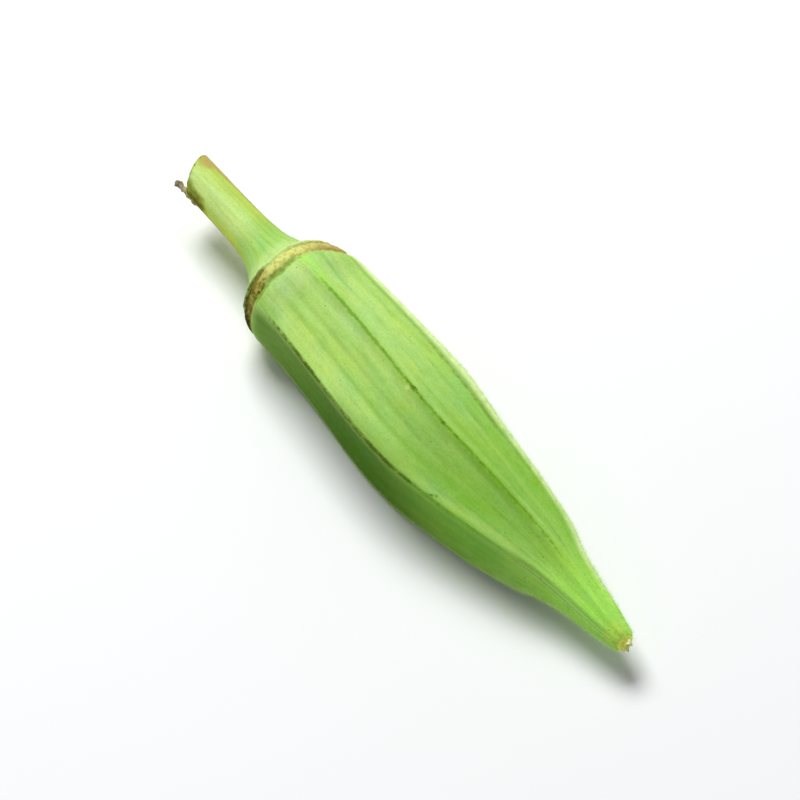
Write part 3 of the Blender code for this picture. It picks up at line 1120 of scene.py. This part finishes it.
def strip_material():
    """Dried bark: grey-brown and dull, darker in its knob."""
    material, tree, shader = new_material("torn_bark")
    place = in_millimetres(tree)
    fibres = cloud(tree, place, (1.2, 0.16, 0.16), 3.0)
    bark = coat(tree, step(tree, fibres, 0.35, 0.65), BARK_DARK, BARK_LIGHT)
    knob = times(tree, mark(tree, "knob"), 0.85)
    feed(tree, coat(tree, knob, bark, KNOB_GREY), shader.inputs["Base Color"])
    shader.inputs["Roughness"].default_value = 0.8
    bump = tree.nodes.new("ShaderNodeBump")
    bump.inputs["Strength"].default_value = 0.6
    bump.inputs["Distance"].default_value = 0.05 * MM
    feed(tree, fibres, bump.inputs["Height"])
    feed(tree, bump.outputs["Normal"], shader.inputs["Normal"])
    return material


strip_rows = strip_points()
strip_mesh = tube_mesh("torn_strip", strip_rows)
strip_x = strip_rows[..., 0]
knob_start = strip_x.min() + KNOB_LENGTH
spread(strip_mesh, {"knob": ramp(knob_start + KNOB_FADE, knob_start - KNOB_FADE, strip_x)})
new_piece("torn_strip", strip_mesh, strip_material())

# ----------------------------------------------------------------------
# Style scar.  The dried style broke off at the tip and left a crown of small brittle flakes round
# the crater.
# ----------------------------------------------------------------------

FLAKES = 9
FLAKE_RING = 0.78
FLAKE_SIZE = (0.4, 0.34, 0.18)
FLAKE_LEAN = 0.5
FLAKE_TAPER = 0.55
FLAKE_CRUMPLE = 0.16
FLAKE_SEED = 7
STYLE_STRAW = paint(246, 242, 190)
STYLE_SHADE = paint(222, 218, 132)

# Where in the noise each axis of a flake's crumple is read
CRUMPLE_SHIFTS = ((0.0, 0.0, 0.0), (7.3, 1.9, 4.7), (3.1, 8.3, 9.7))


def flakes_mesh():
    """Flakes round the crater, each a small crumpled ball drawn out along the pod."""
    chance = np.random.default_rng(FLAKE_SEED)
    bm = bmesh.new()
    for k in range(FLAKES):
        angle = (k + chance.uniform(-0.45, 0.45)) * 360.0 / FLAKES
        size = chance.uniform(0.45, 1.2)
        outward = Vector(around(angle))
        forward = Vector((1.0, 0.0, 0.0)) + outward * chance.uniform(-0.2, 1.0) * FLAKE_LEAN
        sideways = forward.cross(outward).normalized()
        root = Vector(middle(TIP - 0.08)) + outward * FLAKE_RING * chance.uniform(0.75, 1.1)
        for vert in bmesh.ops.create_icosphere(bm, subdivisions=2, radius=1.0)["verts"]:
            along, aside, out = vert.co
            taper = 1.0 - FLAKE_TAPER * max(along, 0.0)
            place = root + forward * (along * FLAKE_SIZE[0] * size)
            place += sideways * (aside * FLAKE_SIZE[1] * size * taper)
            place += outward * (out * FLAKE_SIZE[2] * size * taper)
            crumple = [noise.noise(place * 4.0 + Vector(shift)) for shift in CRUMPLE_SHIFTS]
            vert.co = (place + Vector(crumple) * FLAKE_CRUMPLE) * MM
    bmesh.ops.recalc_face_normals(bm, faces=bm.faces[:])
    mesh = bpy.data.meshes.new("style_scar")
    bm.to_mesh(mesh)
    bm.free()
    mesh.shade_smooth()
    return mesh


def flake_material():
    """Dried style: pale straw with darker crumbs."""
    material, tree, shader = new_material("dried_style")
    place = in_millimetres(tree)
    crumbs = cloud(tree, place, (0.28, 0.28, 0.28), 3.0)
    straw = coat(tree, step(tree, crumbs, 0.38, 0.6), STYLE_SHADE, STYLE_STRAW)
    feed(tree, straw, shader.inputs["Base Color"])
    shader.inputs["Roughness"].default_value = 0.7
    return material


new_piece("style_scar", flakes_mesh(), flake_material())

# ----------------------------------------------------------------------
# Down.  Short stiff hairs grow from the skin and lean towards the tip.  They are thickest on the
# beak, the far ridge and the two lower ones, thinner on the stem, and none stand on the ring scar,
# the style scar and the cut.
# ----------------------------------------------------------------------

HAIR_DOUBLINGS = 15
HAIR_WIDTH = 0.032
HAIR_SHORTEST = 0.16
HAIR_LONGEST = 0.34
FUZZ_LONGEST = 0.85
HAIR_ROOT = 0.03
HAIR_LEAN = 0.45
HAIR_TANGLE = 0.3
HAIR_SEED = 11
HAIR_GREEN = paint(168, 216, 78)
HAIR_DEEP_GREEN = paint(132, 190, 34)
HAIR_WHITE = paint(228, 250, 198)


def hair_roots(count, chance):
    """Places, outward directions and fuzz of hairs, picked over the skin's triangles by area."""
    skin_mesh.calc_loop_triangles()
    corners_of = np.zeros(len(skin_mesh.loop_triangles) * 3, int)
    skin_mesh.loop_triangles.foreach_get("vertices", corners_of)
    corners_of = corners_of.reshape(-1, 3)
    co = np.zeros(len(skin_mesh.vertices) * 3)
    skin_mesh.vertices.foreach_get("co", co)
    co = co.reshape(-1, 3)
    first, second, third = (co[corners_of[:, k]] for k in range(3))
    normal = np.cross(second - first, third - first)
    area = np.linalg.norm(normal, axis=1)
    density, fuzz = np.zeros((2, len(skin_mesh.vertices)))
    skin_mesh.attributes["down"].data.foreach_get("value", density)
    skin_mesh.attributes["fuzz"].data.foreach_get("value", fuzz)
    weight = area * density[corners_of].mean(axis=1)
    picked = chance.choice(len(area), count, p=weight / weight.sum())
    share = chance.random((2, count, 1))
    share = np.where(share.sum(axis=0) > 1.0, 1.0 - share, share)
    root = first[picked]
    root = root + (second - first)[picked] * share[0] + (third - first)[picked] * share[1]
    return root, normal[picked] / area[picked, None], fuzz[corners_of[picked, :1]]


def down_mesh():
    """All the hairs: one three-sided spike, doubled again and again, then each put on its root."""
    bm = bmesh.new()
    number = bm.verts.layers.int.new("number")
    bmesh.ops.create_cone(bm, cap_ends=True, segments=3, radius1=0.5, radius2=0.0, depth=1.0)
    bmesh.ops.remove_doubles(bm, verts=bm.verts[:], dist=JOIN_WITHIN)
    for doubling in range(HAIR_DOUBLINGS):
        copied = bmesh.ops.duplicate(bm, geom=bm.verts[:] + bm.edges[:] + bm.faces[:])["geom"]
        for item in copied:
            if isinstance(item, bmesh.types.BMVert):
                item[number] += 2**doubling
    mesh = bpy.data.meshes.new("down")
    bm.to_mesh(mesh)
    bm.free()

    chance = np.random.default_rng(HAIR_SEED)
    count = 2**HAIR_DOUBLINGS
    root, outward, fuzz = hair_roots(count, chance)
    forward = outward + (HAIR_LEAN, 0.0, 0.0) + chance.normal(0.0, HAIR_TANGLE, (count, 3))
    forward /= np.linalg.norm(forward, axis=1)[:, None]
    aside = np.cross(forward, chance.normal(0.0, 1.0, (count, 3)))
    aside /= np.linalg.norm(aside, axis=1)[:, None]
    across_hair = np.cross(forward, aside)
    longest = HAIR_LONGEST + (FUZZ_LONGEST - HAIR_LONGEST) * fuzz
    length = (HAIR_SHORTEST + (longest - HAIR_SHORTEST) * chance.random((count, 1))) * MM

    hair = np.zeros(len(mesh.vertices), int)
    mesh.attributes["number"].data.foreach_get("value", hair)
    mesh.attributes.remove(mesh.attributes["number"])
    spike = np.zeros(len(mesh.vertices) * 3)
    mesh.vertices.foreach_get("co", spike)
    spike = spike.reshape(-1, 3)
    placed = root[hair] + forward[hair] * ((spike[:, 2:] + 0.5) * length[hair] - HAIR_ROOT * MM)
    placed += (aside[hair] * spike[:, :1] + across_hair[hair] * spike[:, 1:2]) * HAIR_WIDTH * MM
    placed[:, 2] = np.maximum(placed[:, 2], 0.0)
    mesh.vertices.foreach_set("co", placed.ravel())
    fuzzy = mesh.attributes.new("fuzz", "FLOAT", "POINT")
    fuzzy.data.foreach_set("value", fuzz[hair, 0].astype(np.float32))
    mesh.update()
    return mesh


def hair_material():
    """Hair: as green as the skin on the faces, and nearly white where the down is thick."""
    material, tree, shader = new_material("down")
    place = in_millimetres(tree)
    tint = step(tree, cloud(tree, place, (3.0, 3.0, 3.0)), 0.3, 0.7)
    green = coat(tree, tint, HAIR_DEEP_GREEN, HAIR_GREEN)
    feed(tree, coat(tree, mark(tree, "fuzz"), green, HAIR_WHITE), shader.inputs["Base Color"])
    shader.inputs["Roughness"].default_value = 0.6
    shader.inputs["Specular IOR Level"].default_value = 0.2
    return material


new_piece("down", down_mesh(), hair_material())

# ----------------------------------------------------------------------
# Floor and light: a pale matt table, a wide soft lamp high over the stem's end, and white daylight
# from all round.
# ----------------------------------------------------------------------

FLOOR_SIZE = 3000.0
LAMP_AZIMUTH = 257.0
LAMP_ELEVATION = 60.0
LAMP_DISTANCE = 900.0
LAMP_SIZE = 450.0
LAMP_POWER = 8.5
DAYLIGHT = 0.3
FLOOR_PAINT = (0.86, 0.87, 0.88, 1.0)
WHITE = (1.0, 1.0, 1.0, 1.0)

bm = bmesh.new()
bmesh.ops.create_grid(bm, x_segments=1, y_segments=1, size=FLOOR_SIZE / 2.0 * MM)
floor_mesh = bpy.data.meshes.new("floor")
bm.to_mesh(floor_mesh)
bm.free()
floor = bpy.data.objects.new("floor", floor_mesh)
bpy.context.scene.collection.objects.link(floor)
floor_paint, tree, shader = new_material("floor_paint")
shader.inputs["Base Color"].default_value = FLOOR_PAINT
shader.inputs["Roughness"].default_value = 0.8
floor_mesh.materials.append(floor_paint)

lamp = bpy.data.objects.new("lamp", bpy.data.lights.new("lamp", "AREA"))
lamp.data.energy = LAMP_POWER
lamp.data.size = LAMP_SIZE * MM
lamp.location = view_direction(LAMP_AZIMUTH, LAMP_ELEVATION) * LAMP_DISTANCE * MM
lamp.rotation_euler = lamp.location.to_track_quat("Z", "Y").to_euler()
bpy.context.scene.collection.objects.link(lamp)

world = bpy.data.worlds.new("daylight")
world.use_nodes = True
sky = world.node_tree.nodes["Background"]
sky.inputs["Color"].default_value = WHITE
sky.inputs["Strength"].default_value = DAYLIGHT
bpy.context.scene.world = world
bpy.context.scene.view_settings.view_transform = "Standard"
